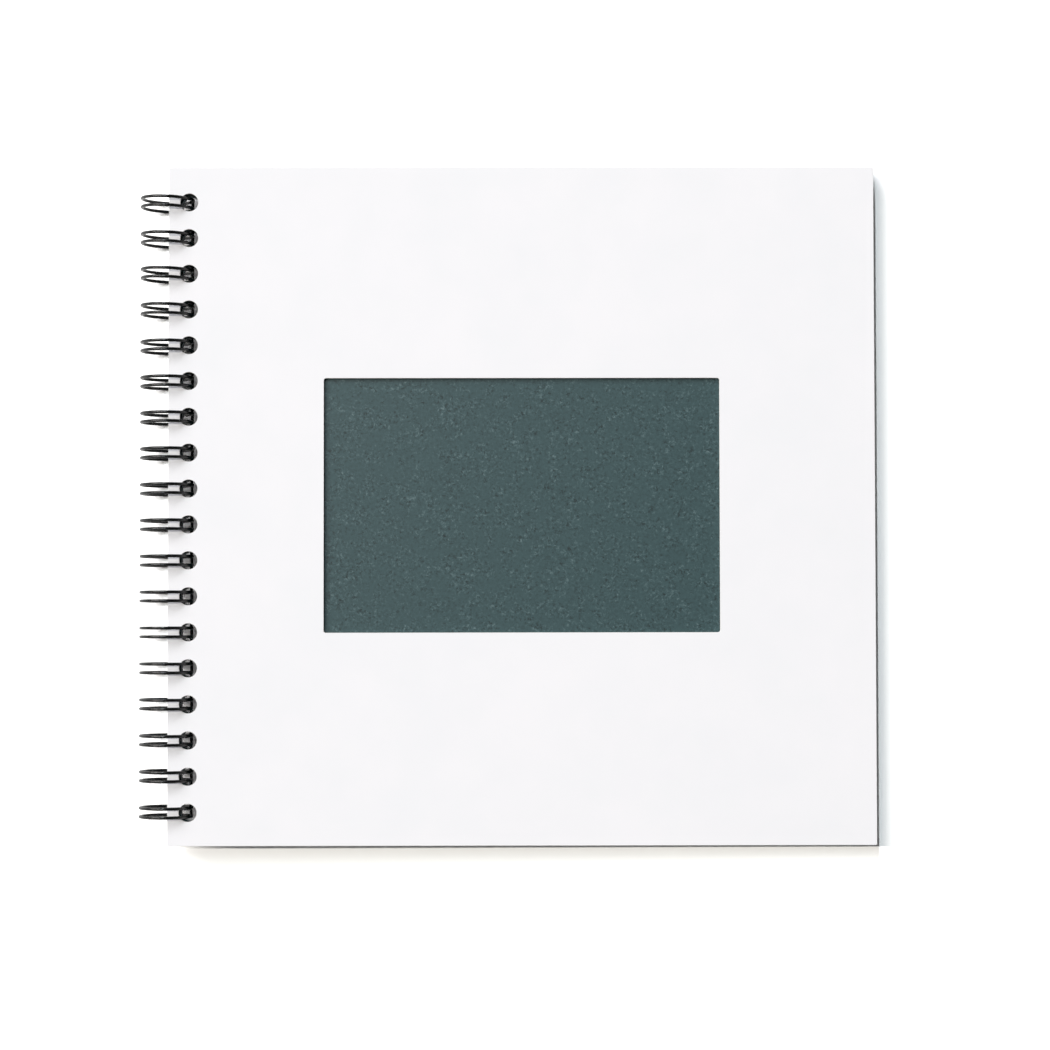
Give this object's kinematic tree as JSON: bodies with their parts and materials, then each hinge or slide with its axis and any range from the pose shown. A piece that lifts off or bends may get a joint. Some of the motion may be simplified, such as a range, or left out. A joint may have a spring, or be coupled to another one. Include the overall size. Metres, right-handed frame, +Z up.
{
  "type": "photo album",
  "caption": "Twin-loop wire-bound photo album, nearly square, with a window cut in its white front cover, slate card pages and a white back cover.",
  "frame": {"origin": "on the surface that carries the closed album, under the middle of its outline", "axes": "+X from the spine to the fore-edge, +Y from the tail to the head, +Z up out of the front cover"},
  "size_m": [0.2608, 0.24, 0.0194],
  "materials": {
    "cover_board": "smooth matt white board",
    "page_card": "uncoated slate card with a fine fibre fleck",
    "coated_wire": "semi-gloss black nylon coating on steel wire"
  },
  "bodies": {
    "pages": {"page_block": "page_card", "binding_wire": "coated_wire"},
    "front_cover": {"front_cover": "cover_board"},
    "back_cover": {"back_cover": "cover_board"}
  },
  "joints": [
    {"name": "front_cover_turn", "type": "hinge", "parent": "pages", "child": "front_cover", "pos_m": [-0.12073, 0, 0.00975], "axis": [0, -1, 0], "range_deg": [0, 180]},
    {"name": "back_cover_turn", "type": "hinge", "parent": "pages", "child": "back_cover", "pos_m": [-0.12073, 0, 0.00975], "axis": [0, 1, 0], "range_deg": [0, 180]}
  ]
}
